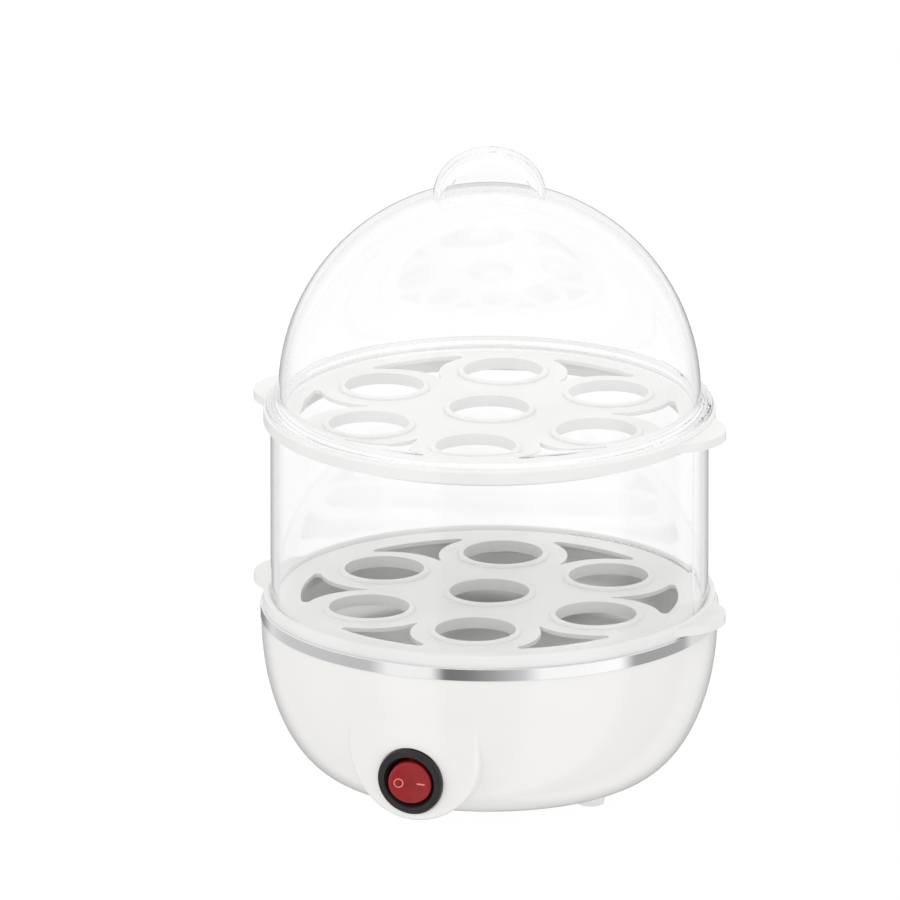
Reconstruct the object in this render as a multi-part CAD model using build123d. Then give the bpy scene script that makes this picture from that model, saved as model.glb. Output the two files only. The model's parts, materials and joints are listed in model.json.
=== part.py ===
from build123d import *
import math
import os

os.makedirs("parts", exist_ok=True)

# Lengths are in millimetres and angles in degrees, with the switch nose at -Y and the tray ears on X
# Bowl of the base
foot_height = 5.0
bowl_floor_radius = 47.6
bowl_side_reach = 29.1
bowl_side_height = 53.6
bowl_land = 0.6
shell_wall = 2.4
ledge_depth = 3.0
cut_overrun = 20.0

# Switch nose
nose_radius = 23.5
nose_level = 30.7
nose_top = 42.0
nose_lean = 4.5
nose_edge_round = 2.5
nose_wall = 3.2
switch_level = 21.7

# Steel band, water dish and seal
band_proud = 0.3
band_height = 4.2
band_gauge = 0.6
band_clearance = 0.2
band_lip = 8.0
dish_gauge = 0.6
dish_mouth_inset = 8.8
dish_depth = 20.8
dish_corner = 14.0
dish_gap = 1.2
dish_edge_gap = 0.6
seal_thickness = 1.2
seal_width = 4.0

# Egg trays
tray_rim_inset = 1.0
tray_rim_wall = 2.0
tray_rim_height = 4.2
tray_skirt = 1.6
tray_web = 1.4
ear_radius = 18.5
ear_overhang = 7.7
ear_blend = 16.0
ear_root = 0.6
ear_lift = 0.5
ear_thickness = 3.0
ear_skin = 1.4
seat_hole_radius = 13.5
seat_lip_wall = 2.0
seat_lip_rise = 1.0
seat_lip_drop = 1.5
seat_ring_share = 0.6687
seat_count = 6
seat_turn = -15.0
slot_side_gap = 0.2
slot_inner_inset = 3.0
slot_outer_inset = 2.3
slot_corner_round = 1.4
slot_turn = 15.0
spigot_clearance = 0.8
spigot_wall = 1.6
spigot_drop = 4.5

# Clear cylinder and lid
tier_height = 62.9
tier_clearance = 0.4
clear_wall = 2.0
lid_flange_inset = 0.8
lid_flange = 1.5
lid_flare = 3.6
lid_lip_depth = 0.9
dome_inset = 3.0
handle_half_width = 18.9
handle_rise = 16.7
handle_sink = 2.2
handle_thickness = 12.0
handle_round = 4.5
lid_turn = 24.0
vent_radius = 1.8
vent_tilt = 26.0

# Bottom cover, its screws and the feet
cover_inset = 12.9
cover_thickness = 2.0
cover_clearance = 0.3
cover_ledge = 2.5
ledge_web = 2.4
boss_radius = 4.0
boss_inset = 5.2
boss_height = 7.0
boss_angles = (30.0, 150.0, 270.0)
screw_radius = 1.25
screw_clearance = 0.05
screw_head_radius = 3.0
screw_head_height = 1.4
screw_head_sink = 1.0
screw_head_clearance = 0.3
screw_drive_radius = 1.1
screw_drive_depth = 0.8
screw_length = 7.0
foot_radius = 5.0
foot_tip_radius = 4.5
foot_inset = 6.0
foot_sink = 0.6
foot_clearance = 0.1
foot_angles = (-14.0, 50.0, 130.0, 194.0)

# Heater under the dish
plate_radius = 45.0
plate_thickness = 3.8
plate_boss_radius = 3.4
tube_inset = 9.0
tube_radius = 3.2
tube_gap = 0.1
tube_open_angle = 24.0
tube_leg_share = 0.196
pin_radius = 1.2
pin_length_share = 0.294
pin_sink = 3.0
pin_clearance = 0.05

# Thermostat, fuse and earth on the heater plate
stat_cap_radius = 8.0
stat_cap_height = 3.0
stat_body_radius = 6.9
stat_body_height = 10.4
stat_bore_clearance = 0.2
bracket_gauge = 0.8
bracket_width = 10.0
bracket_screw_reach = 14.0
small_screw_length = 4.6
small_screw_head_radius = 2.4
small_screw_head_height = 1.6
blade_gauge = 0.8
blade_width = 4.8
stat_blade_start = 2.0
stat_blade_end = 16.0
stat_edge_round = 0.4
fuse_radius = 2.0
fuse_length = 12.0
fuse_lead_radius = 0.5
fuse_lead_length = 6.0
fuse_offset = -20.0
clip_gauge = 0.6
clip_width = 5.0
clip_clearance = 0.1
clip_foot = 6.5
earth_spot = (18.0, 18.0)
tag_radius = 3.6
tag_gauge = 0.8
tag_tail = 7.0

# Terminal block on the cover
block_length = 26.0
block_depth = 14.0
block_height = 10.0
block_ring_share = 0.5556
pole_pitch = 8.0
pole_count = 3
pole_level = 4.6
sleeve_radius = 2.0
sleeve_bore = 1.3
sleeve_length = 12.0
fit_gap = 0.1
pole_screw_radius = 1.2
pole_screw_spread = 3.4
pole_screw_sink = 0.5
peg_radius = 1.5

# Cord gland at the back
gland_level = 24.0
gland_stand = 3.6
gland_pad_radius = 9.0
gland_pad_depth = 10.2
gland_radius = 5.0
gland_bore = 3.3
gland_flange_radius = 7.6
gland_flange = 2.0
gland_nut_radius = 7.2
gland_nut_height = 4.0
gland_tail = 0.6

# Round rocker switch
bezel_radius = 11.5
bezel_height = 2.2
bezel_round = 1.0
bezel_mouth_radius = 9.0
bezel_mouth_depth = 1.4
bezel_gap = 0.4
spot_depth = 0.8
barrel_radius = 9.9
barrel_clearance = 0.2
barrel_depth = 15.0
barrel_bore = 8.1
barrel_floor = 3.5
rocker_radius = 7.4
rocker_pivot_depth = 1.5
rocker_face_height = 4.4
rocker_face_dish = 27.0
rocker_skirt = 3.0
rocker_shell = 1.4
rocker_edge_round = 0.9
rocker_half_swing = 7.5
rocker_pin_radius = 1.1
rocker_pin_reach = 1.3
rocker_pin_clearance = 0.05
post_radius = 2.2
post_bore = 1.3
post_length = 7.5
plunger_clearance = 0.1
plunger_tip = 0.9
plunger_length = 3.4
spring_wire = 0.25
spring_turns = 7
lever_pivot_depth = 10.4
lever_pivot_radius = 0.9
lever_gap = 0.1
lever_gauge = 0.8
lever_half_length = 5.4
lever_width = 4.0
lever_half_swing = 6.0
contact_gap = 0.15
contact_height = 0.6
contact_radius = 1.4
blade_pitch = 5.2
blade_tail = 9.0
blade_slot_gap = 0.05

# Push-on connectors and leads
connector_width = 6.2
connector_height = 2.6
connector_length = 8.0
connector_tail = 6.0
connector_tail_radius = 1.7
lead_radius = 1.0
lead_bore_gap = 0.1
lead_bend = 3.0
lead_end_gap = 0.5

# Ways of the leads, as shares of the heater ring's radius and of the height between cover and heater plate
switched_lead_shares = [(-0.50, -0.72, 0.52), (-0.89, -0.22, 0.53)]
fuse_lead_shares = [(0.86, -0.19, 0.62)]
heater_lead_shares = [(-0.67, -0.33, 0.72), (-0.67, 0.33, 0.65), (-0.47, 0.89, 0.23)]
neutral_lead_shares = [(0.53, 0.97, 0.20), (0.53, 0.19, 0.15)]
live_lead_share = (-0.22, -0.28, 0.23)
earth_lead_share = (0.36, 0.25, 0.33)

# Levels and radii that follow from the sizes above
bowl_top = foot_height + bowl_side_height
bowl_radius = bowl_floor_radius + bowl_side_reach
band_bottom = bowl_top + bowl_land
band_top = band_bottom + band_height
band_radius = bowl_radius + band_proud
band_inner_radius = band_radius - band_gauge
dish_top = band_top - band_gauge
dish_floor = dish_top - dish_depth
dish_under = dish_floor - dish_gauge
shell_top = dish_top - dish_gauge - seal_thickness
spigot_radius = band_inner_radius - band_clearance
dish_mouth_radius = band_radius - dish_mouth_inset
ledge_inner_radius = dish_mouth_radius + dish_gauge + dish_gap
tray_rim_radius = band_radius - tray_rim_inset
tray_inner_radius = tray_rim_radius - tray_rim_wall
ear_reach = tray_rim_radius + ear_overhang - ear_radius
spigot_inner_radius = dish_mouth_radius - spigot_clearance - spigot_wall
seat_ring_radius = seat_ring_share * spigot_inner_radius
slot_side_radius = seat_ring_radius / 2 - slot_side_gap
slot_inner_radius = seat_ring_radius - slot_inner_inset
slot_outer_radius = spigot_inner_radius - slot_outer_inset
tier_radius = tray_inner_radius - tier_clearance
tier_bottom = band_top + tray_skirt + tray_web
tier_top = tier_bottom + tier_height
upper_seat = tier_top - tray_skirt
lid_seat = upper_seat + tray_rim_height
lid_flange_radius = tray_rim_radius - lid_flange_inset
dome_radius = tray_inner_radius - dome_inset
dome_level = lid_seat + lid_flange + lid_flare
dome_top = dome_level + dome_radius
plate_under = dish_under - plate_thickness
boss_under = plate_under - stat_cap_height
cover_top = foot_height + cover_thickness
cover_radius = bowl_floor_radius - cover_inset
boss_ring_radius = cover_radius - boss_inset
foot_ring_radius = bowl_floor_radius - foot_inset
tube_ring_radius = plate_radius - tube_inset
block_offset = block_ring_share * tube_ring_radius
stat_under = boss_under - stat_body_height
fuse_level = plate_under - fuse_radius - clip_clearance
pole_height = cover_top + pole_level
tube_level = plate_under - tube_radius - tube_gap
wiring_height = plate_under - cover_top
tube_end = tube_level - tube_leg_share * wiring_height
pin_end = tube_end - pin_length_share * wiring_height


def bowl_radius_at(level):
    share = (bowl_top - level) / bowl_side_height
    return bowl_floor_radius + bowl_side_reach * math.sqrt(1 - share * share)


def nose_radius_at(level):
    return bowl_radius_at(nose_top) - (nose_top - level) * math.tan(math.radians(nose_lean))


# Face of the cord boss at the back
gland_face = bowl_radius_at(gland_level) + gland_stand

# Seat plane of the switch: x to the right, y up and z outward
lean_sine = math.sin(math.radians(nose_lean))
lean_cosine = math.cos(math.radians(nose_lean))
switch_seat = nose_radius_at(switch_level) - spot_depth
switch_plane = Plane(
    origin=(0, -switch_seat, switch_level),
    x_dir=(1, 0, 0),
    z_dir=(0, -lean_cosine, -lean_sine),
)


# Shared shapes
def polar(radius, angle):
    return (radius * math.cos(math.radians(angle)), radius * math.sin(math.radians(angle)))


def disc(radius, low, high):
    return Pos(0, 0, low) * Cylinder(radius, high - low, align=(Align.CENTER, Align.CENTER, Align.MIN))


def tube(outer, inner, low, high):
    return disc(outer, low, high) - disc(inner, low - cut_overrun, high + cut_overrun)


def block(width, depth, low, high):
    return Pos(0, 0, low) * Box(width, depth, high - low, align=(Align.CENTER, Align.CENTER, Align.MIN))


def turned(*lines):
    return revolve(Plane.XZ * make_face(list(lines)), Axis.Z)


def screw(head_radius, head_height, length):
    shank = disc(screw_radius, 0, length)
    head = disc(head_radius, -head_height, 0)
    head = fillet(head.edges().group_by(Axis.Z)[0], head_height / 2)
    drive_top = screw_drive_depth - head_height
    drive = block(2 * screw_drive_radius, screw_drive_radius / 2, -head_height, drive_top)
    cross = drive + Rot(0, 0, 90) * drive
    return shank + head - cross


def lead(points):
    path = FilletPolyline(*points, radius=lead_bend)
    start = Plane(origin=path @ 0, z_dir=path % 0)
    return sweep(start * Circle(lead_radius), path=path)


def bowl_solid(inset, top):
    reach = bowl_side_reach - inset
    height = bowl_side_height - inset
    low = foot_height + inset
    side = EllipticalCenterArc((bowl_floor_radius, bowl_top), reach, height, 270, arc_size=90)
    wide = bowl_floor_radius + reach
    rest = Polyline((wide, bowl_top), (wide, top), (0, top), (0, low), (bowl_floor_radius, low))
    return turned(side, rest)


def nose_solid(inset):
    low = foot_height
    low_radius = nose_radius_at(low) - inset
    top_radius = nose_radius_at(nose_top) - inset
    cone = turned(Polyline((0, low), (low_radius, low), (top_radius, nose_top), (0, nose_top), close=True))
    width = nose_radius - inset
    outline = Pos(0, nose_level) * Circle(width)
    outline += Pos(0, (nose_level + nose_top) / 2) * Rectangle(2 * width, nose_top - nose_level)
    return cone & extrude(Plane.XZ * outline, band_radius + cut_overrun)


# Base shell
def gland_place():
    return Pos(0, gland_face, gland_level) * Rot(90, 0, 0)


def make_base_shell():
    outer = bowl_solid(0, band_bottom)
    nose = nose_solid(0)
    front = nose.edges().filter_by(lambda e: e.center().Y < -bowl_floor_radius)
    front = front.filter_by(lambda e: e.center().Z < nose_top - shell_wall)
    nose = fillet(front, nose_edge_round)
    outer = outer + nose + disc(spigot_radius, band_bottom, shell_top)
    inner = bowl_solid(shell_wall, shell_top + cut_overrun) + nose_solid(nose_wall)
    shell = outer - inner
    shell += tube(bowl_radius - shell_wall / 2, ledge_inner_radius, shell_top - ledge_depth, shell_top)
    rebate_top = cover_top
    ring_inner = cover_radius + cover_clearance - cover_ledge
    shell -= disc(ring_inner, foot_height - cut_overrun, rebate_top + shell_wall)
    shell += tube(bowl_floor_radius, ring_inner, rebate_top, rebate_top + ledge_web)
    for angle in boss_angles:
        x, y = polar(boss_ring_radius, angle)
        post = Pos(x, y, 0) * disc(boss_radius, rebate_top, rebate_top + boss_height)
        web = Pos(x, y, 0) * Rot(0, 0, angle) * Pos(boss_radius, 0, 0)
        shell += post + web * block(2 * boss_radius, boss_radius, rebate_top, rebate_top + ledge_web)
    shell -= disc(cover_radius + cover_clearance, foot_height - cut_overrun, rebate_top)
    for angle in boss_angles:
        x, y = polar(boss_ring_radius, angle)
        shell -= Pos(x, y, 0) * disc(screw_radius + screw_clearance, foot_height, rebate_top + screw_length)
    for angle in foot_angles:
        x, y = polar(foot_ring_radius, angle)
        shell -= Pos(x, y, 0) * disc(foot_radius + foot_clearance, -cut_overrun, foot_height + foot_sink)
    shell += gland_place() * disc(gland_pad_radius, 0, gland_pad_depth)
    shell -= gland_place() * disc(gland_radius + fit_gap, -cut_overrun, gland_pad_depth + cut_overrun)
    shell -= switch_plane * disc(bezel_radius + bezel_gap, 0, cut_overrun)
    shell -= switch_plane * disc(barrel_radius + barrel_clearance, -cut_overrun, cut_overrun)
    return shell


# Steel band, dish and seal
def make_trim_band():
    wall = tube(band_radius, band_inner_radius, band_bottom, band_top)
    lip = tube(band_radius, band_radius - band_lip, dish_top, band_top)
    band = wall + lip
    top_edge = band.edges().filter_by(GeomType.CIRCLE).sort_by(lambda e: e.center().Z + e.radius)[-1]
    return fillet(top_edge, band_gauge / 2)


def dish_cup(inset, top):
    corner = dish_corner - inset
    wide = dish_mouth_radius - inset
    low = dish_floor + inset
    bend = CenterArc((wide - corner, low + corner), corner, 270, 90)
    rest = Polyline((wide, low + corner), (wide, top), (0, top), (0, low), (wide - corner, low))
    return turned(bend, rest)


def make_heating_dish():
    cup = dish_cup(-dish_gauge, dish_top) - dish_cup(0, dish_top + cut_overrun)
    flange = tube(band_inner_radius - dish_edge_gap, dish_mouth_radius, dish_top - dish_gauge, dish_top)
    return cup + flange


def make_dish_seal():
    outer = spigot_radius - dish_edge_gap
    return tube(outer, outer - seal_width, shell_top, shell_top + seal_thickness)


# Egg trays
def layer(outline, low, high):
    return Pos(0, 0, low) * extrude(outline, high - low)


def make_ear(low):
    tip = Pos(ear_reach, 0) * Circle(ear_radius)
    outline = fillet((Circle(tray_rim_radius - ear_root) + tip).vertices(), ear_blend)
    outline -= Circle(tray_rim_radius - tray_rim_wall / 2)
    pocket = Pos(ear_reach, 0) * Circle(ear_radius - ear_skin) - Circle(tray_rim_radius + ear_root)
    half = Pos(ear_reach, 0) * Rectangle(2 * ear_radius, 3 * ear_radius)
    ear = layer(outline & half, low, low + ear_thickness)
    return ear - layer(pocket, low - ear_lift, low + ear_thickness - ear_skin)


def seat_places():
    step = 360 / seat_count
    return [(0, 0)] + [polar(seat_ring_radius, seat_turn + step * k) for k in range(seat_count)]


def slot_outline():
    half_step = 180 / seat_count
    wide = 2 * slot_outer_radius
    wedge = make_face(Polyline((0, 0), polar(wide, -half_step), polar(wide, half_step), close=True))
    slot = (Circle(slot_outer_radius) - Circle(slot_inner_radius)) & wedge
    for side in (-1, 1):
        slot -= Pos(*polar(seat_ring_radius, side * half_step)) * Circle(slot_side_radius)
    tips = slot.vertices().filter_by(lambda v: v.to_tuple()[0] > seat_ring_radius + slot_side_gap)
    return fillet(tips, slot_corner_round)


def make_tray(seat):
    web_under = seat + tray_skirt
    web_top = web_under + tray_web
    tray = tube(tray_rim_radius, tray_inner_radius, seat, seat + tray_rim_height)
    tray = fillet(tray.edges().filter_by(GeomType.CIRCLE).group_by(Axis.Z)[-1], tray_rim_wall / 3)
    for turn in (0, 180):
        tray += Rot(0, 0, turn) * make_ear(seat + ear_lift)
    tray += disc(tray_inner_radius + tray_rim_wall / 2, web_under, web_top)
    spigot_outer = dish_mouth_radius - spigot_clearance
    tray += tube(spigot_outer, spigot_outer - spigot_wall, web_under - spigot_drop, web_under)
    lip = disc(seat_hole_radius + seat_lip_wall, web_under - seat_lip_drop, web_top + seat_lip_rise)
    lip = fillet(lip.edges().group_by(Axis.Z)[-1], seat_lip_wall / 3)
    for x, y in seat_places():
        tray += Pos(x, y, 0) * lip
    for x, y in seat_places():
        tray -= Pos(x, y, 0) * disc(seat_hole_radius, seat - cut_overrun, seat + cut_overrun)
    slot = layer(slot_outline(), seat - cut_overrun, seat + cut_overrun)
    for k in range(seat_count):
        tray -= Rot(0, 0, slot_turn + 360 / seat_count * k) * slot
    return tray


# Clear cylinder and lid
def make_steam_cylinder():
    wall = tube(tier_radius, tier_radius - clear_wall, tier_bottom, tier_top)
    return fillet(wall.edges().filter_by(GeomType.CIRCLE), clear_wall / 4)


def dome_hollow():
    wide = dome_radius - clear_wall
    low = lid_seat - cut_overrun
    side = CenterArc((0, dome_level), wide, 0, 90)
    return turned(side, Polyline((0, dome_level + wide), (0, low), (wide, low), (wide, dome_level)))


def dome_outside():
    flange_top = lid_seat + lid_flange
    flare_radius = dome_radius + lid_flare
    side = CenterArc((0, dome_level), dome_radius, 0, 90)
    flare = CenterArc((flare_radius, dome_level), lid_flare, 180, 90)
    rest = Polyline(
        (flare_radius, flange_top),
        (lid_flange_radius, flange_top),
        (lid_flange_radius, lid_seat),
        (0, lid_seat),
        (0, dome_top),
    )
    dome = turned(side, flare, rest)
    edges = dome.edges().filter_by(GeomType.CIRCLE)
    rim = edges.filter_by(lambda e: abs(e.radius - lid_flange_radius) < lid_flange / 4)
    return fillet(rim, lid_flange / 3)


def handle_solid(inset):
    outline = Ellipse(handle_half_width - inset, handle_rise - inset)
    depth = handle_thickness / 2 - inset
    plate = extrude(Plane.XZ * outline, depth, both=True)
    plate = fillet(plate.edges(), handle_round - inset)
    return Pos(0, 0, dome_top - handle_sink) * plate


def make_lid():
    lip = disc(tray_inner_radius - tier_clearance, lid_seat - lid_lip_depth, lid_seat)
    body = dome_outside() + lip + handle_solid(0)
    tilt = Pos(0, 0, dome_level) * Rot(-vent_tilt, 0, 0)
    vent = tilt * disc(vent_radius, dome_radius / 2, dome_radius + cut_overrun)
    return Rot(0, 0, lid_turn) * (body - dome_hollow() - handle_solid(clear_wall) - vent)


# Bottom cover, screws and feet
def make_bottom_cover():
    cover = disc(cover_radius, foot_height, cover_top)
    for angle in boss_angles:
        x, y = polar(boss_ring_radius, angle)
        cover -= Pos(x, y, 0) * disc(screw_radius + screw_head_clearance, 0, cover_top + cut_overrun)
        sink = disc(screw_head_radius + screw_head_clearance, 0, foot_height + screw_head_sink)
        cover -= Pos(x, y, 0) * sink
    for side in (-1, 1):
        peg_hole = disc(peg_radius + fit_gap, 0, cover_top + cut_overrun)
        cover -= Pos(side * pole_pitch / 2, block_offset, 0) * peg_hole
    return cover


def make_cover_screws():
    fastener = screw(screw_head_radius, screw_head_height, screw_length)
    group = []
    for angle in boss_angles:
        x, y = polar(boss_ring_radius, angle)
        group.append(Pos(x, y, foot_height + screw_head_sink) * fastener)
    return Compound(group)


def make_foot(angle):
    x, y = polar(foot_ring_radius, angle)
    top = foot_height + foot_sink
    outline = Polyline(
        (0, 0),
        (foot_tip_radius, 0),
        (foot_radius, foot_height),
        (foot_radius, top),
        (0, top),
        close=True,
    )
    return Pos(x, y, 0) * turned(outline)


# Heater plate and what is fixed to it
def plate_boss_places():
    return [(-bracket_screw_reach, 0), (bracket_screw_reach, 0), earth_spot]


def make_heater_plate():
    plate = disc(plate_radius, plate_under, dish_under)
    for x, y in plate_boss_places():
        boss = disc(plate_boss_radius, boss_under, plate_under)
        plate += Pos(x, y, 0) * boss
    for x, y in plate_boss_places():
        hole = disc(screw_radius + screw_clearance, boss_under - cut_overrun, boss_under + small_screw_length)
        plate -= Pos(x, y, 0) * hole
    hole_top = plate_under + plate_thickness * 2 / 3
    hole = disc(screw_radius + screw_clearance, plate_under - cut_overrun, hole_top)
    plate -= Pos(0, fuse_offset - clip_foot, 0) * hole
    return plate


def tube_end_places():
    return [polar(tube_ring_radius, 90 + side * tube_open_angle / 2) for side in (1, -1)]


def make_heater_tube():
    start = Plane(origin=(tube_ring_radius, 0, tube_level), x_dir=(1, 0, 0), z_dir=(0, 1, 0))
    ring = revolve(start * Circle(tube_radius), Axis.Z, revolution_arc=360 - tube_open_angle)
    element = Rot(0, 0, 90 + tube_open_angle / 2) * ring
    for x, y in tube_end_places():
        element += Pos(x, y, tube_level) * Sphere(tube_radius)
        element += Pos(x, y, 0) * disc(tube_radius, tube_end, tube_level)
    pin_hole = disc(pin_radius + pin_clearance, tube_end - cut_overrun, tube_end + pin_sink)
    for x, y in tube_end_places():
        element -= Pos(x, y, 0) * pin_hole
    return element


def make_heater_pins():
    pin = disc(pin_radius, pin_end, tube_end + pin_sink)
    return Compound([Pos(x, y, 0) * pin for x, y in tube_end_places()])


def make_thermostat_cap():
    return disc(stat_cap_radius, boss_under, plate_under)


def make_thermostat_body():
    body = disc(stat_body_radius, stat_under, boss_under)
    low_edge = body.edges().group_by(Axis.Z)[0]
    return fillet(low_edge, stat_edge_round)


def make_thermostat_blades():
    group = []
    for side in (-1, 1):
        middle = side * (stat_blade_start + stat_blade_end) / 2
        length = stat_blade_end - stat_blade_start
        group.append(Pos(middle, 0, 0) * block(length, blade_width, stat_under - blade_gauge, stat_under))
    return Compound(group)


def make_thermostat_bracket():
    length = 2 * (bracket_screw_reach + plate_boss_radius)
    strap = block(length, bracket_width, boss_under - bracket_gauge, boss_under)
    strap += disc(stat_cap_radius + bracket_gauge, boss_under - bracket_gauge, boss_under)
    strap -= disc(stat_body_radius + stat_bore_clearance, boss_under - cut_overrun, boss_under + cut_overrun)
    for side in (-1, 1):
        hole = disc(screw_radius + screw_clearance, boss_under - cut_overrun, boss_under + cut_overrun)
        strap -= Pos(side * bracket_screw_reach, 0, 0) * hole
    return strap


def make_plate_screws():
    head = small_screw_head_height
    group = []
    for side in (-1, 1):
        place = Pos(side * bracket_screw_reach, 0, boss_under - bracket_gauge)
        group.append(place * screw(small_screw_head_radius, head, small_screw_length))
    x, y = earth_spot
    group.append(Pos(x, y, boss_under - tag_gauge) * screw(small_screw_head_radius, head, small_screw_length))
    place = Pos(0, fuse_offset - clip_foot, plate_under - clip_gauge)
    group.append(place * screw(small_screw_head_radius, head, plate_thickness * 2 / 3))
    return Compound(group)


def make_thermal_fuse():
    body = Cylinder(fuse_radius, fuse_length) + Cylinder(fuse_lead_radius, fuse_length + 2 * fuse_lead_length)
    return Pos(0, fuse_offset, fuse_level) * Rot(0, 90, 0) * body


def make_fuse_clip():
    inner = fuse_radius + clip_clearance
    outer = inner + clip_gauge
    hoop = Circle(outer) + Pos(0, outer / 2) * Rectangle(2 * outer, outer)
    hoop -= Circle(inner) + Pos(0, outer / 2) * Rectangle(2 * inner, outer)
    hoop &= Pos(0, plate_under - fuse_level - outer) * Rectangle(4 * outer, 2 * outer)
    reach = clip_foot + small_screw_head_radius
    foot_level = plate_under - fuse_level - clip_gauge / 2
    foot = Pos(-(inner + reach) / 2, foot_level) * Rectangle(reach - inner, clip_gauge)
    strip = extrude(Plane.YZ * (hoop + foot), clip_width / 2, both=True)
    strip = Pos(0, fuse_offset, fuse_level) * strip
    hole = disc(screw_radius + screw_clearance, plate_under - cut_overrun, plate_under + cut_overrun)
    return strip - Pos(0, fuse_offset - clip_foot, 0) * hole


def make_earth_tag():
    x, y = earth_spot
    tag = disc(tag_radius, boss_under - tag_gauge, boss_under)
    tag += Pos(tag_tail / 2, 0, 0) * block(tag_tail, tag_radius, boss_under - tag_gauge, boss_under)
    crimp = tube(connector_tail_radius, lead_radius + lead_bore_gap, 0, connector_tail)
    tag += Pos(tag_tail, 0, boss_under - connector_tail) * crimp
    tag -= disc(screw_radius + screw_clearance, boss_under - cut_overrun, boss_under + cut_overrun)
    return Pos(x, y, 0) * tag


# Terminal block
def pole_places():
    return [(k - (pole_count - 1) / 2) * pole_pitch for k in range(pole_count)]


def make_terminal_block():
    body = Pos(0, block_offset, 0) * block(block_length, block_depth, cover_top, cover_top + block_height)
    body = fillet(body.edges().filter_by(Axis.Z), peg_radius)
    for side in (-1, 1):
        body += Pos(side * pole_pitch / 2, block_offset, 0) * disc(peg_radius, foot_height, cover_top)
    for x in pole_places():
        bore = Pos(x, block_offset, pole_height) * Rot(90, 0, 0)
        body -= bore * Cylinder(sleeve_radius + fit_gap, block_depth + cut_overrun)
        for side in (-1, 1):
            screw_hole = disc(pole_screw_radius + fit_gap, pole_height, pole_height + cut_overrun)
            body -= Pos(x, block_offset + side * pole_screw_spread, 0) * screw_hole
    return body


def make_terminal_sleeves():
    group = []
    for x in pole_places():
        sleeve = Cylinder(sleeve_radius, sleeve_length) - Cylinder(sleeve_bore, sleeve_length + cut_overrun)
        group.append(Pos(x, block_offset, pole_height) * Rot(90, 0, 0) * sleeve)
    return Compound(group)


def make_terminal_screws():
    top = cover_top + block_height - pole_screw_sink
    group = []
    for x in pole_places():
        for side in (-1, 1):
            stud = disc(pole_screw_radius, pole_height + sleeve_radius, top)
            slot = block(3 * pole_screw_radius, pole_screw_radius / 3, top - pole_screw_radius / 2, top)
            group.append(Pos(x, block_offset + side * pole_screw_spread, 0) * (stud - slot))
    return Compound(group)


# Cord gland
def make_cord_gland():
    tail = gland_pad_depth + gland_nut_height + gland_tail
    body = disc(gland_radius, 0, tail) + disc(gland_flange_radius, -gland_flange, 0)
    body = fillet(body.edges().group_by(Axis.Z)[0], gland_flange / 2)
    return gland_place() * (body - disc(gland_bore, -cut_overrun, tail + cut_overrun))


def make_gland_nut():
    outline = RegularPolygon(gland_nut_radius, 6) - Circle(gland_radius + fit_gap)
    return gland_place() * Pos(0, 0, gland_pad_depth) * extrude(outline, gland_nut_height)


# Rocker switch, drawn on its seat plane
def pivot_axis_cylinder(radius, length):
    return Rot(90, 0, 0) * Cylinder(radius, length)


def blade_places():
    return (-blade_pitch, 0)


def make_switch_housing():
    flange = disc(bezel_radius, 0, bezel_height)
    flange = fillet(flange.edges().group_by(Axis.Z)[-1], bezel_round)
    body = flange + disc(barrel_radius, -barrel_depth, 0)
    mouth_low = bezel_height - bezel_mouth_depth
    body -= disc(barrel_bore, barrel_floor - barrel_depth, bezel_height + cut_overrun)
    body -= Pos(0, 0, mouth_low) * Cone(
        barrel_bore, bezel_mouth_radius, bezel_mouth_depth, align=(Align.CENTER, Align.CENTER, Align.MIN)
    )
    pin_length_all = 2 * (rocker_radius + rocker_pin_reach + fit_gap)
    pin_hole = pivot_axis_cylinder(rocker_pin_radius + rocker_pin_clearance, pin_length_all)
    body -= Pos(0, 0, -rocker_pivot_depth) * pin_hole
    for x in blade_places():
        slot_width = blade_gauge + 2 * blade_slot_gap
        slot_depth = blade_width + 2 * blade_slot_gap
        slot = block(slot_width, slot_depth, -barrel_depth - cut_overrun, -lever_pivot_depth)
        body -= Pos(x, 0, 0) * slot
    return switch_plane * body


def rocker_turn():
    return Pos(0, 0, -rocker_pivot_depth) * Rot(0, rocker_half_swing, 0)


def make_switch_rocker():
    edge_height = rocker_face_dish - math.sqrt(rocker_face_dish**2 - rocker_radius**2)
    top = rocker_face_height + edge_height
    body = disc(rocker_radius, -rocker_skirt, top)
    dish = pivot_axis_cylinder(rocker_face_dish, cut_overrun)
    body -= Pos(0, 0, rocker_face_height + rocker_face_dish) * dish
    rim = body.edges().filter_by(lambda e: e.center().Z > rocker_face_height / 2)
    body = fillet(rim, rocker_edge_round)
    body -= disc(rocker_radius - rocker_shell, -rocker_skirt - cut_overrun, rocker_face_height - rocker_shell)
    post_low = rocker_face_height - rocker_shell - post_length - rocker_shell
    body += disc(post_radius, post_low, rocker_face_height - rocker_shell)
    body -= disc(post_bore, post_low - cut_overrun, rocker_face_height - rocker_shell)
    for side in (-1, 1):
        pin = Pos(0, side * (rocker_radius + (rocker_pin_reach - rocker_shell) / 2), 0)
        body += pin * pivot_axis_cylinder(rocker_pin_radius, rocker_pin_reach + rocker_shell)
    return switch_plane * rocker_turn() * body


def plunger_low():
    return rocker_face_height - rocker_shell - post_length - rocker_shell - plunger_tip


def make_switch_plunger():
    radius = post_bore - plunger_clearance
    stem = disc(radius, plunger_low(), plunger_low() + plunger_length)
    stem = fillet(stem.edges().group_by(Axis.Z)[0], radius * 3 / 4)
    return switch_plane * rocker_turn() * stem


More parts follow.
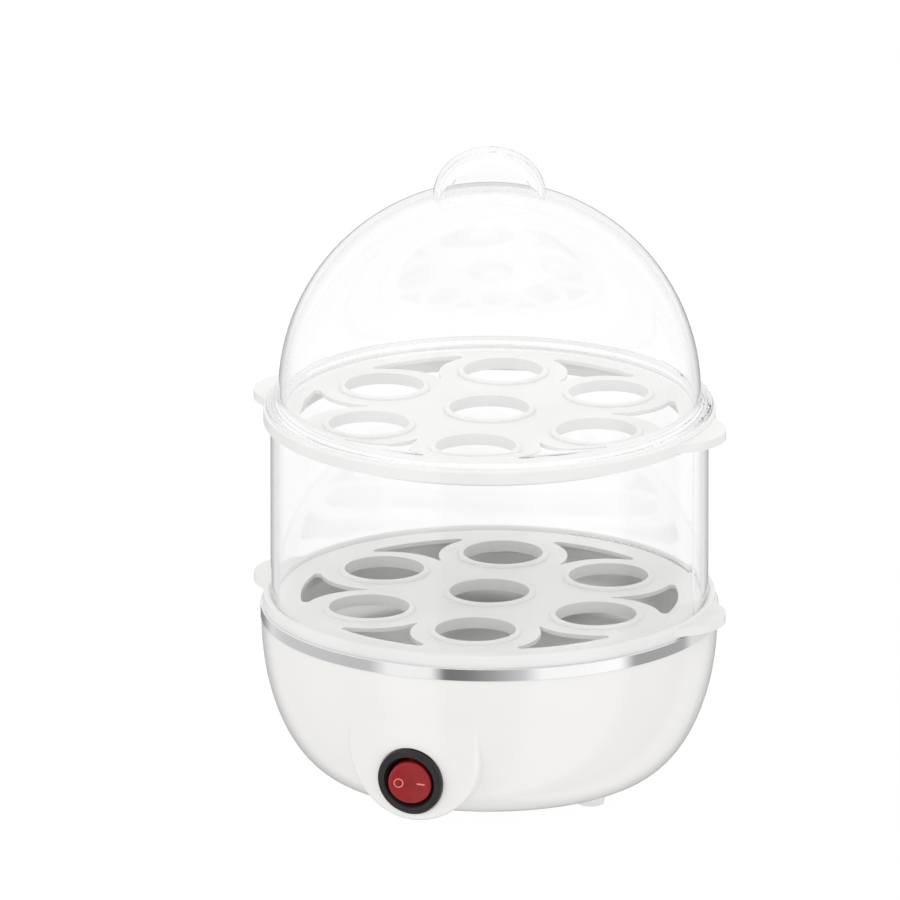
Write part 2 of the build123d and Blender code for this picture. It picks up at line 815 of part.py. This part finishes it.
def make_plunger_spring():
    low = plunger_low() + plunger_length + spring_wire
    high = rocker_face_height - rocker_shell - spring_wire
    coil_radius = post_bore - plunger_clearance - spring_wire
    path = Helix((high - low) / spring_turns, high - low, coil_radius, center=(0, 0, low))
    start = Plane(origin=path @ 0, z_dir=path % 0)
    return switch_plane * rocker_turn() * sweep(start * Circle(spring_wire), path=path)


def lever_turn():
    return Pos(0, 0, -lever_pivot_depth) * Rot(0, -lever_half_swing, 0)


def make_contact_lever():
    low = lever_pivot_radius + lever_gap
    plate = block(2 * lever_half_length, lever_width, low, low + lever_gauge)
    plate = fillet(plate.edges().filter_by(Axis.Z), lever_gauge)
    return switch_plane * lever_turn() * plate


def make_switch_blades():
    swing = math.radians(lever_half_swing)
    contact_top = -lever_pivot_depth - blade_pitch * math.sin(swing)
    contact_top += (lever_pivot_radius + lever_gap) * math.cos(swing) - contact_gap
    low = -barrel_depth - blade_tail
    left = block(blade_gauge, blade_width, low, contact_top - contact_height)
    left += disc(contact_radius, contact_top - contact_height, contact_top)
    middle = block(blade_gauge, blade_width, low, -lever_pivot_depth)
    middle += Pos(0, 0, -lever_pivot_depth) * pivot_axis_cylinder(lever_pivot_radius, blade_width)
    return Compound([switch_plane * Pos(-blade_pitch, 0, 0) * left, switch_plane * middle])


# Push-on connectors and leads
def connector():
    slot_width = blade_width + 2 * blade_slot_gap
    slot_height = blade_gauge + 2 * blade_slot_gap
    shell = block(connector_height, connector_width, 0, connector_length)
    shell -= block(slot_height, slot_width, connector_length / 6, connector_length + cut_overrun)
    tail = tube(connector_tail_radius, lead_radius + lead_bore_gap, -connector_tail, 0)
    return shell + tail


def switch_connector_place(x):
    return switch_plane * Pos(x, 0, -barrel_depth - blade_tail - connector_length / 6)


def stat_connector_place(side):
    place = Pos(side * (stat_blade_end + connector_length / 6), 0, stat_under - blade_gauge / 2)
    return place * Rot(0, -side * 90, 0)


def make_lead_connectors():
    group = [switch_connector_place(x) * connector() for x in blade_places()]
    group += [stat_connector_place(side) * connector() for side in (-1, 1)]
    return Compound(group)


def make_crimp_sleeves():
    wall = connector_tail_radius - lead_radius - lead_bore_gap
    half = connector_tail / 2
    pin_bore = pin_radius + lead_bore_gap
    pin_sleeve = tube(pin_bore + wall, pin_bore, -half, half)
    wire_sleeve = tube(connector_tail_radius, lead_radius + lead_bore_gap, -half, half)
    group = [Pos(x, y, pin_end) * pin_sleeve for x, y in tube_end_places()]
    for side in (-1, 1):
        place = Pos(side * (fuse_length / 2 + fuse_lead_length), fuse_offset, fuse_level)
        group.append(place * Rot(0, 90, 0) * wire_sleeve)
    return Compound(group)


def tail_points(place):
    out = connector_tail + lead_bend
    return [(place * Pos(0, 0, -lead_end_gap)).position, (place * Pos(0, 0, -out)).position]


def way_points(shares):
    ring = tube_ring_radius
    return [(ring * x, ring * y, cover_top + wiring_height * z) for x, y, z in shares]


def switch_lead_start(x):
    return tail_points(switch_connector_place(x))


def stat_lead_start(side):
    return tail_points(stat_connector_place(side))


def block_lead_start(index):
    x = pole_places()[index]
    front = block_offset - block_depth / 2
    near = Vector(x, block_offset - sleeve_length / 4, pole_height)
    return [near, Vector(x, front - 2 * lead_bend, pole_height)]


def pin_lead_start(index):
    x, y = tube_end_places()[index]
    return [Vector(x, y, pin_end - lead_end_gap), Vector(x, y, pin_end - connector_tail)]


def fuse_lead_start(side):
    joint = fuse_length / 2 + fuse_lead_length
    near = Vector(side * (joint + lead_end_gap), fuse_offset, fuse_level)
    return [near, Vector(side * (joint + connector_tail), fuse_offset, fuse_level)]


def earth_lead_end():
    x, y = earth_spot
    return Vector(x + tag_tail, y, boss_under - lead_end_gap - tag_gauge)


def make_live_lead():
    return lead(block_lead_start(0) + way_points([live_lead_share]) + switch_lead_start(0)[::-1])


def make_switched_lead():
    return lead(switch_lead_start(-blade_pitch) + way_points(switched_lead_shares) + stat_lead_start(-1)[::-1])


def make_fuse_lead():
    return lead(stat_lead_start(1) + way_points(fuse_lead_shares) + fuse_lead_start(1)[::-1])


def make_heater_lead():
    return lead(fuse_lead_start(-1) + way_points(heater_lead_shares) + pin_lead_start(0)[::-1])


def make_neutral_lead():
    return lead(pin_lead_start(1) + way_points(neutral_lead_shares) + block_lead_start(pole_count - 1)[::-1])


def make_earth_lead():
    x, y = earth_spot
    low = (x + tag_tail, y, boss_under - 2 * connector_tail)
    return lead(block_lead_start(1) + way_points([earth_lead_share]) + [low, earth_lead_end()])


parts = {
    "lid": make_lid(),
    "upper_egg_tray": make_tray(upper_seat),
    "steam_cylinder": make_steam_cylinder(),
    "lower_egg_tray": make_tray(band_top),
    "base_shell": make_base_shell(),
    "trim_band": make_trim_band(),
    "heating_dish": make_heating_dish(),
    "dish_seal": make_dish_seal(),
    "bottom_cover": make_bottom_cover(),
    "cover_screws": make_cover_screws(),
    "heater_plate": make_heater_plate(),
    "heater_tube": make_heater_tube(),
    "heater_pins": make_heater_pins(),
    "thermostat_cap": make_thermostat_cap(),
    "thermostat_body": make_thermostat_body(),
    "thermostat_blades": make_thermostat_blades(),
    "thermostat_bracket": make_thermostat_bracket(),
    "plate_screws": make_plate_screws(),
    "thermal_fuse": make_thermal_fuse(),
    "fuse_clip": make_fuse_clip(),
    "earth_tag": make_earth_tag(),
    "terminal_block": make_terminal_block(),
    "terminal_sleeves": make_terminal_sleeves(),
    "terminal_screws": make_terminal_screws(),
    "cord_gland": make_cord_gland(),
    "gland_nut": make_gland_nut(),
    "switch_housing": make_switch_housing(),
    "switch_rocker": make_switch_rocker(),
    "switch_plunger": make_switch_plunger(),
    "plunger_spring": make_plunger_spring(),
    "contact_lever": make_contact_lever(),
    "switch_blades": make_switch_blades(),
    "lead_connectors": make_lead_connectors(),
    "crimp_sleeves": make_crimp_sleeves(),
    "live_lead": make_live_lead(),
    "switched_lead": make_switched_lead(),
    "fuse_lead": make_fuse_lead(),
    "heater_lead": make_heater_lead(),
    "neutral_lead": make_neutral_lead(),
    "earth_lead": make_earth_lead(),
}
for number, angle in enumerate(foot_angles, start=1):
    parts[f"foot_{number}"] = make_foot(angle)

for node, shape in parts.items():
    export_step(shape, f"parts/{node}.step")
    box = shape.bounding_box()
    print(node, len(shape.solids()), shape.is_valid, box.min, box.max)
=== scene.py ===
import bpy
import json
import math
from mathutils import Matrix, Vector


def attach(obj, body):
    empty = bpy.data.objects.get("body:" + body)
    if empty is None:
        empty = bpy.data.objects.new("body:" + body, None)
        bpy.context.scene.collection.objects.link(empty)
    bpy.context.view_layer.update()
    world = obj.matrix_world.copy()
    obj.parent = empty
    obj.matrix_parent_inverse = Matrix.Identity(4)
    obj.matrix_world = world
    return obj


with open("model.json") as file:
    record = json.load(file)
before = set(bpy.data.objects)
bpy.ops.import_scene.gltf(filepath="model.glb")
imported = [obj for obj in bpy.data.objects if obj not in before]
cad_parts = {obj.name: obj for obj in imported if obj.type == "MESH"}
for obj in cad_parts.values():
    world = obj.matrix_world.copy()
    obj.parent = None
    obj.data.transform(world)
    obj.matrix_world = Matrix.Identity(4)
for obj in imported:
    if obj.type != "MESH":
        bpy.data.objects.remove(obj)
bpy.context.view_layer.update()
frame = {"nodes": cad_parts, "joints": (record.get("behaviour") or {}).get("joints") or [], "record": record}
bpy.ops.object.select_all(action="DESELECT")
nodes = frame["nodes"]
mm = 0.001
print("frame loaded,", len(nodes), "nodes")


# camera at the photo's angle: the cooker stands a little right of and below the middle of the frame
cameraSet = {
    "azimuth": 21.1,
    "elevation": 17.0,
    "distance": 14.0,
    "focal": 1666.9,
    "sensor": 36.0,
    "clipEnd": 100.0,
    "aimHeight": 105 * mm,
    "aimLeft": 13.27 * mm,
    "aimUp": 11.1 * mm,
}


def addCamera(s):
    turn = math.radians(s["azimuth"])
    tilt = math.radians(s["elevation"])
    level = math.cos(tilt)
    outward = Vector((math.sin(turn) * level, -math.cos(turn) * level, math.sin(tilt)))
    right = Vector((math.cos(turn), math.sin(turn), 0))
    up = outward.cross(right)
    aim = Vector((0, 0, s["aimHeight"])) - right * s["aimLeft"] + up * s["aimUp"]
    bpy.ops.object.camera_add(location=aim + outward * s["distance"])
    cam = bpy.context.object
    cam.name = "photoCamera"
    cam.rotation_euler = (-outward).to_track_quat("-Z", "Y").to_euler()
    cam.data.lens = s["focal"]
    cam.data.sensor_width = s["sensor"]
    cam.data.clip_end = s["clipEnd"]
    bpy.context.scene.camera = cam


def setLightPaths(bounces):
    cycles = bpy.context.scene.cycles
    cycles.max_bounces = bounces
    cycles.transmission_bounces = bounces
    cycles.glossy_bounces = bounces


lightBounces = 128  # light runs a long way inside the clear walls before it leaves them
addCamera(cameraSet)
setLightPaths(lightBounces)
bpy.context.scene.view_settings.view_transform = "Standard"
print("camera set")


# soft studio: a pale room for the diffuse light, upright panels for what shines, white behind
studioSet = {
    "white": (1, 1, 1, 1),
    "roomColor": (1.0, 0.998, 0.992, 1),
    "roomLevel": 1.04,
    "tentLevel": 0.96,
    "tentEdge": (-0.22, -0.06),
    "clearEdgeLevel": 0.60,
    "panelTurn": 21.1,
    "panelStops": [
        (0.000, 0.28), (0.060, 0.34), (0.100, 0.80), (0.150, 0.66), (0.325, 0.60), (0.352, 1.00),
        (0.418, 1.00), (0.437, 0.18), (0.470, 0.23), (0.505, 0.40), (0.548, 0.70), (0.572, 1.15),
        (0.695, 1.15), (0.718, 0.40), (0.822, 0.44), (0.842, 0.86), (0.900, 0.80), (0.940, 0.34),
        (1.000, 0.28),
    ],
    "floorSize": 12.0,
    "floorColor": (0.93, 0.93, 0.925, 1),
    "floorGlow": 1.03,
    "floorShadowKept": 0.12,
    "lamps": [
        {"name": "keySoftbox", "place": (-0.75, -1.05, 1.15), "size": 0.9, "power": 1.5},
        {"name": "fillSoftbox", "place": (1.15, -0.75, 0.75), "size": 0.9, "power": 0.8},
        {"name": "topSoftbox", "place": (0.1, 0.35, 1.5), "size": 1.1, "power": 1.4},
    ],
    "lampAim": (0, 0, 0.1),
}


def nodeTree(owner):
    owner.use_nodes = True
    tree = owner.node_tree
    tree.nodes.clear()
    return tree


def mathNode(tree, operation):
    node = tree.nodes.new("ShaderNodeMath")
    node.operation = operation
    return node


def background(tree, color, level=1.0):
    node = tree.nodes.new("ShaderNodeBackground")
    node.inputs["Color"].default_value = color
    node.inputs["Strength"].default_value = level
    return node


def blend(tree, share, first, second):
    mix = tree.nodes.new("ShaderNodeMixShader")
    tree.links.new(share, mix.inputs["Fac"])
    tree.links.new(first, mix.inputs[1])
    tree.links.new(second, mix.inputs[2])
    return mix.outputs[0]


def seenDirectly(tree):
    # 1 for camera rays and for rays that went through the clear pieces
    path = tree.nodes.new("ShaderNodeLightPath")
    either = mathNode(tree, "MAXIMUM")
    tree.links.new(path.outputs["Is Camera Ray"], either.inputs[0])
    tree.links.new(path.outputs["Is Transmission Ray"], either.inputs[1])
    return path, either.outputs[0]


def panelColor(tree, s):
    # brightness by the bearing of the ray round the cooker, 0.5 towards the camera
    new, link = tree.nodes.new, tree.links.new
    coords = new("ShaderNodeTexCoord")
    turn = new("ShaderNodeMapping")
    turn.inputs["Rotation"].default_value = (0, 0, -math.radians(s["panelTurn"]))
    split = new("ShaderNodeSeparateXYZ")
    flip = mathNode(tree, "MULTIPLY")
    flip.inputs[1].default_value = -1
    bearing = mathNode(tree, "ARCTAN2")
    share = new("ShaderNodeMapRange")
    share.inputs["From Min"].default_value = -math.pi
    share.inputs["From Max"].default_value = math.pi
    ramp = new("ShaderNodeValToRGB")
    stops = ramp.color_ramp.elements
    while len(stops) > 1:
        stops.remove(stops[0])
    for k, (at, level) in enumerate(s["panelStops"]):
        stop = stops[0] if k == 0 else stops.new(at)
        stop.position = at
        stop.color = (level, level, level, 1)
    link(coords.outputs["Generated"], turn.inputs["Vector"])
    link(turn.outputs["Vector"], split.inputs["Vector"])
    link(split.outputs["Y"], flip.inputs[0])
    link(split.outputs["X"], bearing.inputs[0])
    link(flip.outputs[0], bearing.inputs[1])
    link(bearing.outputs[0], share.inputs["Value"])
    link(share.outputs["Result"], ramp.inputs["Fac"])
    # above the panels the room is one pale tent
    rise = new("ShaderNodeMapRange")
    rise.interpolation_type = "SMOOTHSTEP"
    rise.inputs["From Min"].default_value = s["tentEdge"][0]
    rise.inputs["From Max"].default_value = s["tentEdge"][1]
    tent = new("ShaderNodeMix")
    tent.data_type = "RGBA"
    tent.inputs["B"].default_value = (s["tentLevel"],) * 3 + (1,)
    link(split.outputs["Z"], rise.inputs["Value"])
    link(rise.outputs["Result"], tent.inputs["Factor"])
    link(ramp.outputs["Color"], tent.inputs["A"])
    return tent.outputs["Result"]


def buildRoom(s):
    world = bpy.data.worlds.new("studioRoom")
    bpy.context.scene.world = world
    tree = nodeTree(world)
    path, direct = seenDirectly(tree)
    room = background(tree, s["roomColor"], s["roomLevel"])
    panels = background(tree, s["white"])
    tree.links.new(panelColor(tree, s), panels.inputs["Color"])
    shiny = blend(tree, path.outputs["Is Glossy Ray"], room.outputs[0], panels.outputs[0])
    # rays mirrored after they passed a clear wall meet one pale grey
    inside = mathNode(tree, "MULTIPLY")
    inside.use_clamp = True
    tree.links.new(path.outputs["Is Glossy Ray"], inside.inputs[0])
    tree.links.new(path.outputs["Transmission Depth"], inside.inputs[1])
    edge = background(tree, s["roomColor"], s["clearEdgeLevel"])
    edged = blend(tree, inside.outputs[0], shiny, edge.outputs[0])
    white = background(tree, s["white"])
    out = tree.nodes.new("ShaderNodeOutputWorld")
    tree.links.new(blend(tree, direct, edged, white.outputs[0]), out.inputs["Surface"])


def floorFinish(s):
    mat = bpy.data.materials.new("paleFloor")
    tree = nodeTree(mat)
    new, link = tree.nodes.new, tree.links.new
    direct = seenDirectly(tree)[1]
    paint = new("ShaderNodeBsdfDiffuse")
    paint.inputs["Color"].default_value = s["floorColor"]
    glow = new("ShaderNodeEmission")
    glow.inputs["Color"].default_value = s["white"]
    glow.inputs["Strength"].default_value = s["floorGlow"]
    kept = new("ShaderNodeMixShader")  # the share of shadow that stays on the white
    kept.inputs["Fac"].default_value = s["floorShadowKept"]
    link(glow.outputs[0], kept.inputs[1])
    link(paint.outputs[0], kept.inputs[2])
    out = new("ShaderNodeOutputMaterial")
    link(blend(tree, direct, paint.outputs[0], kept.outputs[0]), out.inputs["Surface"])
    return mat


def buildFloor(s):
    bpy.ops.mesh.primitive_plane_add(size=s["floorSize"])
    floor = bpy.context.object
    floor.name = "studioFloor"
    floor.data.materials.append(floorFinish(s))
    floor.visible_glossy = False  # the band shows the panels, not the floor
    floor.visible_diffuse = False


def addLamps(s):
    aim = Vector(s["lampAim"])
    for lamp in s["lamps"]:
        bpy.ops.object.light_add(type="AREA", location=lamp["place"])
        light = bpy.context.object
        light.name = lamp["name"]
        light.rotation_euler = (aim - light.location).to_track_quat("-Z", "Y").to_euler()
        light.data.size = lamp["size"]
        light.data.energy = lamp["power"]
        light.visible_glossy = False


buildRoom(studioSet)
buildFloor(studioSet)
addLamps(studioSet)
print("studio built")


# finishes, one dictionary each; lengths in millimetres, colours linear
fineDetail = 3
lineDetail = 4
wipeBreakup = 0.6
lineBreakup = 0.65
plasticIor = 1.5
coatRoughness = 0.05


def startFinish(name):
    mat = bpy.data.materials.new(name)
    tree = nodeTree(mat)
    out = tree.nodes.new("ShaderNodeOutputMaterial")
    face = tree.nodes.new("ShaderNodeBsdfPrincipled")
    tree.links.new(face.outputs[0], out.inputs["Surface"])
    coords = tree.nodes.new("ShaderNodeTexCoord")
    return mat, tree, face, coords.outputs["Object"]


def stretch(tree, vector, scale):
    # squeezes or stretches a pattern along the three axes
    mapping = tree.nodes.new("ShaderNodeMapping")
    mapping.inputs["Scale"].default_value = scale
    tree.links.new(vector, mapping.inputs["Vector"])
    return mapping.outputs["Vector"]


def ringVector(tree, vector):
    # distance from the cooker's axis and height, so that a pattern runs round it
    split = tree.nodes.new("ShaderNodeSeparateXYZ")
    flat = tree.nodes.new("ShaderNodeCombineXYZ")
    size = tree.nodes.new("ShaderNodeVectorMath")
    size.operation = "LENGTH"
    join = tree.nodes.new("ShaderNodeCombineXYZ")
    link = tree.links.new
    link(vector, split.inputs[0])
    link(split.outputs["X"], flat.inputs["X"])
    link(split.outputs["Y"], flat.inputs["Y"])
    link(flat.outputs[0], size.inputs[0])
    link(size.outputs["Value"], join.inputs["X"])
    link(split.outputs["Z"], join.inputs["Z"])
    return join.outputs[0]


def grain(tree, vector, sizeMm, detail=2.0, rough=0.5):
    noise = tree.nodes.new("ShaderNodeTexNoise")
    noise.inputs["Scale"].default_value = 1 / (sizeMm * mm)
    noise.inputs["Detail"].default_value = detail
    noise.inputs["Roughness"].default_value = rough
    tree.links.new(vector, noise.inputs["Vector"])
    return noise.outputs["Fac"]


def rangeOf(tree, value, low, high, fromLow=0.3, fromHigh=0.7):
    span = tree.nodes.new("ShaderNodeMapRange")
    span.inputs["From Min"].default_value = fromLow
    span.inputs["From Max"].default_value = fromHigh
    span.inputs["To Min"].default_value = low
    span.inputs["To Max"].default_value = high
    tree.links.new(value, span.inputs["Value"])
    return span.outputs["Result"]


def tone(tree, face, value, dark, light, fromLow=0.3, fromHigh=0.7):
    ramp = tree.nodes.new("ShaderNodeValToRGB")
    ramp.color_ramp.elements[0].position = fromLow
    ramp.color_ramp.elements[0].color = (*dark, 1)
    ramp.color_ramp.elements[1].position = fromHigh
    ramp.color_ramp.elements[1].color = (*light, 1)
    tree.links.new(value, ramp.inputs["Fac"])
    tree.links.new(ramp.outputs["Color"], face.inputs["Base Color"])


def relief(tree, face, value, depthMm, strength):
    bump = tree.nodes.new("ShaderNodeBump")
    bump.inputs["Distance"].default_value = depthMm * mm
    bump.inputs["Strength"].default_value = strength
    tree.links.new(value, bump.inputs["Height"])
    tree.links.new(bump.outputs["Normal"], face.inputs["Normal"])


def clearFinish(s):
    mat, tree, face, place = startFinish(s["name"])
    face.inputs["Transmission Weight"].default_value = 1
    # painted shade: the wall's colour turns grey where it is seen edge-on, which draws a dark outline along
    # its edges
    slant = tree.nodes.new("ShaderNodeLayerWeight")
    tone(tree, face, slant.outputs["Facing"], s["tint"], s["paintedEdgeShade"], *s["paintedShadeSlant"])
    face.inputs["IOR"].default_value = s["ior"]
    face.inputs["Specular IOR Level"].default_value = s["shine"]
    way = stretch(tree, place, s["wipeStretch"])
    wipes = grain(tree, way, s["wipeSize"], fineDetail, wipeBreakup)
    tree.links.new(rangeOf(tree, wipes, *s["roughness"]), face.inputs["Roughness"])
    return mat


def plasticFinish(s):
    mat, tree, face, place = startFinish(s["name"])
    flow = grain(tree, place, s["flowSize"])
    tone(tree, face, flow, s["dark"], s["light"])
    fine = grain(tree, place, s["grainSize"], fineDetail)
    tree.links.new(rangeOf(tree, fine, *s["roughness"]), face.inputs["Roughness"])
    relief(tree, face, fine, s["grainDepth"], s["grainStrength"])
    face.inputs["IOR"].default_value = s.get("ior", plasticIor)
    face.inputs["Coat Weight"].default_value = s.get("coat", 0)
    face.inputs["Coat Roughness"].default_value = coatRoughness
    return mat


def metalFinish(s):
    mat, tree, face, place = startFinish(s["name"])
    way = ringVector(tree, place) if s.get("ringed") else place
    lines = grain(tree, way, s["lineSize"], lineDetail, lineBreakup)
    cloud = grain(tree, place, s["cloudSize"])
    tone(tree, face, cloud, s["dark"], s["light"])
    tree.links.new(rangeOf(tree, lines, *s["roughness"]), face.inputs["Roughness"])
    relief(tree, face, lines, s["lineDepth"], s["lineStrength"])
    face.inputs["Metallic"].default_value = 1
    return mat


clearPlastic = clearFinish({
    "name": "clearPlastic", "tint": (0.985, 0.988, 0.988), "ior": 1.49, "shine": 0.5,
    # painted shade: the grey that the clear walls take where they are seen edge-on
    "paintedEdgeShade": (0.60, 0.61, 0.62), "paintedShadeSlant": (0.72, 0.90),
    "wipeSize": 9.0, "wipeStretch": (1, 1, 0.25), "roughness": (0.0, 0.008),
})
shellGloss = plasticFinish({
    "name": "shellGloss", "dark": (0.845, 0.838, 0.822), "light": (0.872, 0.866, 0.852),
    "flowSize": 45.0,
    "grainSize": 3.2, "grainDepth": 0.05, "grainStrength": 0.05,
    "roughness": (0.14, 0.20), "coat": 0.15,
})
traySatin = plasticFinish({
    "name": "traySatin", "dark": (0.80, 0.80, 0.79), "light": (0.845, 0.845, 0.838),
    "flowSize": 30.0,
    "grainSize": 0.7, "grainDepth": 0.03, "grainStrength": 0.12, "roughness": (0.30, 0.42),
})
bandSteel = metalFinish({
    "name": "bandSteel", "ringed": True, "dark": (0.80, 0.80, 0.81), "light": (0.88, 0.88, 0.885),
    "cloudSize": 40.0,
    "lineSize": 0.35, "lineDepth": 0.01, "lineStrength": 0.05, "roughness": (0.07, 0.15),
})
dishSteel = metalFinish({
    "name": "dishSteel", "ringed": True, "dark": (0.86, 0.86, 0.86), "light": (0.92, 0.92, 0.915),
    "cloudSize": 30.0,
    "lineSize": 0.5, "lineDepth": 0.02, "lineStrength": 0.12, "roughness": (0.28, 0.40),
})
sealSilicone = plasticFinish({
    "name": "sealSilicone", "dark": (0.62, 0.62, 0.60), "light": (0.70, 0.70, 0.68),
    "flowSize": 12.0,
    "grainSize": 0.5, "grainDepth": 0.02, "grainStrength": 0.2, "roughness": (0.50, 0.62),
})
screwSteel = metalFinish({
    "name": "screwSteel", "dark": (0.55, 0.55, 0.54), "light": (0.68, 0.67, 0.65), "cloudSize": 3.0,
    "lineSize": 0.3, "lineDepth": 0.02, "lineStrength": 0.2, "roughness": (0.26, 0.40),
})
heaterAluminium = metalFinish({
    "name": "heaterAluminium", "dark": (0.58, 0.58, 0.58), "light": (0.72, 0.72, 0.71),
    "cloudSize": 9.0,
    "lineSize": 0.8, "lineDepth": 0.06, "lineStrength": 0.35, "roughness": (0.38, 0.55),
})
heaterSheath = metalFinish({
    "name": "heaterSheath", "dark": (0.20, 0.19, 0.18), "light": (0.34, 0.30, 0.26),
    "cloudSize": 14.0,
    "lineSize": 0.6, "lineDepth": 0.03, "lineStrength": 0.25, "roughness": (0.36, 0.52),
})
blackMoulding = plasticFinish({
    "name": "blackMoulding", "dark": (0.016, 0.016, 0.017), "light": (0.026, 0.026, 0.027),
    "flowSize": 10.0,
    "grainSize": 0.45, "grainDepth": 0.03, "grainStrength": 0.3, "roughness": (0.42, 0.55),
})
brassParts = metalFinish({
    "name": "brassParts", "dark": (0.60, 0.42, 0.17), "light": (0.76, 0.57, 0.27), "cloudSize": 5.0,
    "lineSize": 0.4, "lineDepth": 0.02, "lineStrength": 0.2, "roughness": (0.24, 0.38),
})
blockNylon = plasticFinish({
    "name": "blockNylon", "dark": (0.72, 0.69, 0.60), "light": (0.80, 0.77, 0.68), "flowSize": 8.0,
    "grainSize": 0.5, "grainDepth": 0.02, "grainStrength": 0.2, "roughness": (0.40, 0.52),
})
switchBlack = plasticFinish({
    "name": "switchBlack", "dark": (0.017, 0.013, 0.014), "light": (0.026, 0.020, 0.022),
    "flowSize": 6.0,
    "grainSize": 0.30, "grainDepth": 0.015, "grainStrength": 0.25,
    "roughness": (0.30, 0.42), "ior": 1.38,
})
rockerRed = plasticFinish({
    "name": "rockerRed", "dark": (0.255, 0.008, 0.011), "light": (0.325, 0.011, 0.014),
    "flowSize": 4.0,
    "grainSize": 0.35, "grainDepth": 0.01, "grainStrength": 0.12,
    "roughness": (0.30, 0.42), "ior": 1.4,
})
markPaint = plasticFinish({
    "name": "markPaint", "dark": (0.78, 0.20, 0.20), "light": (0.86, 0.27, 0.26), "flowSize": 1.0,
    "grainSize": 0.2, "grainDepth": 0.01, "grainStrength": 0.2, "roughness": (0.40, 0.52),
})
footRubber = plasticFinish({
    "name": "footRubber", "dark": (0.76, 0.755, 0.745), "light": (0.82, 0.815, 0.805),
    "flowSize": 5.0,
    "grainSize": 0.5, "grainDepth": 0.04, "grainStrength": 0.35, "roughness": (0.62, 0.78),
})


def leadFinish(name, dark, light):
    return plasticFinish({
        "name": name, "dark": dark, "light": light, "flowSize": 4.0,
        "grainSize": 0.4, "grainDepth": 0.02, "grainStrength": 0.2, "roughness": (0.40, 0.52),
    })


leadBrown = leadFinish("leadBrown", (0.085, 0.036, 0.018), (0.120, 0.052, 0.028))
leadBlue = leadFinish("leadBlue", (0.020, 0.090, 0.34), (0.034, 0.125, 0.43))
leadGreen = leadFinish("leadGreen", (0.06, 0.24, 0.04), (0.34, 0.38, 0.03))
print("finishes made")

finishOfSlot = {
    "clear_plastic": clearPlastic,
    "tray_white": traySatin,
    "shell_white": shellGloss,
    "polished_steel": bandSteel,
    "dish_steel": dishSteel,
    "seal_silicone": sealSilicone,
    "screw_steel": screwSteel,
    "heater_aluminium": heaterAluminium,
    "heater_sheath": heaterSheath,
    "black_moulding": blackMoulding,
    "brass_parts": brassParts,
    "block_nylon": blockNylon,
    "switch_black": switchBlack,
    "rocker_red": rockerRed,
    "foot_rubber": footRubber,
    "lead_brown": leadBrown,
    "lead_blue": leadBlue,
    "lead_green": leadGreen,
}
for entry in frame["record"]["subparts"]:
    mesh = nodes[entry["node"]].data
    mesh.materials.clear()
    mesh.materials.append(finishOfSlot[entry["material_slot"]])
for name in ("lid", "steam_cylinder"):
    nodes[name].visible_shadow = False  # light reaches the trays through the clear walls
    nodes[name].visible_diffuse = False
print("nodes dressed")


# switch marks: a ring and a dash printed on the rocker's hollow face
markSet = {
    "halfSwing": 7.5,
    "faceHeight": 4.4 * mm,
    "faceHollow": 27.0 * mm,
    "offset": 3.85 * mm,
    "ringRadius": 1.65 * mm,
    "ringLine": 0.36 * mm,
    "ringSides": 64,
    "dashLength": 2.9 * mm,
    "dashLine": 0.5 * mm,
    "dashRound": 0.4,
    "dashSteps": 4,
    "thickness": 0.10 * mm,
    "sink": 0.05 * mm,
}


def rockerFrame(s):
    joint = next(j for j in frame["joints"] if j["name"] == "rocker_tilt")
    up = Vector(joint["axis"]).normalized()
    across = Vector((1, 0, 0))
    outward = across.cross(up)
    place = Matrix((across, up, outward)).transposed().to_4x4()
    place.translation = Vector(joint["pos_m"])
    return place @ Matrix.Rotation(math.radians(s["halfSwing"]), 4, "Y")


def markPlace(s, x):
    # a spot on the hollow face and the face's slope there
    rise = s["faceHollow"] - math.sqrt(s["faceHollow"] ** 2 - x * x)
    slope = -math.asin(x / s["faceHollow"])
    spot = Matrix.Translation((x, 0, s["faceHeight"] + rise - s["sink"]))
    return rockerFrame(s) @ spot @ Matrix.Rotation(slope, 4, "Y")


def finishMark(mark, name, place, s):
    mark.name = name
    bpy.ops.object.mode_set(mode="EDIT")
    bpy.ops.mesh.select_all(action="SELECT")
    lift = {"value": (0, 0, s["thickness"])}
    bpy.ops.mesh.extrude_region_move(TRANSFORM_OT_translate=lift)
    bpy.ops.mesh.select_all(action="SELECT")
    bpy.ops.mesh.normals_make_consistent(inside=False)
    bpy.ops.object.mode_set(mode="OBJECT")
    mark.matrix_world = place
    bpy.ops.object.transform_apply(location=True, rotation=True, scale=True)
    mark.data.materials.append(markPaint)
    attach(mark, "rocker")
    mark.select_set(False)


def makeRing(s):
    radius = s["ringRadius"]
    bpy.ops.mesh.primitive_circle_add(vertices=s["ringSides"], radius=radius, fill_type="NOTHING")
    ring = bpy.context.object
    bpy.ops.object.mode_set(mode="EDIT")
    bpy.ops.mesh.select_all(action="SELECT")
    inner = 1 - s["ringLine"] / radius
    bpy.ops.mesh.extrude_edges_move()
    bpy.ops.transform.resize(value=(inner, inner, 1))
    bpy.ops.object.mode_set(mode="OBJECT")
    finishMark(ring, "mark_off_ring", markPlace(s, -s["offset"]), s)


def makeDash(s):
    bpy.ops.mesh.primitive_plane_add(size=1)
    dash = bpy.context.object
    bpy.ops.object.mode_set(mode="EDIT")
    bpy.ops.mesh.select_all(action="SELECT")
    bpy.ops.transform.resize(value=(s["dashLength"], s["dashLine"], 1))
    rounding = s["dashLine"] * s["dashRound"]
    bpy.ops.mesh.bevel(offset=rounding, segments=s["dashSteps"], affect="VERTICES")
    bpy.ops.object.mode_set(mode="OBJECT")
    finishMark(dash, "mark_on_dash", markPlace(s, s["offset"]), s)


makeRing(markSet)
makeDash(markSet)
print("switch marks made")
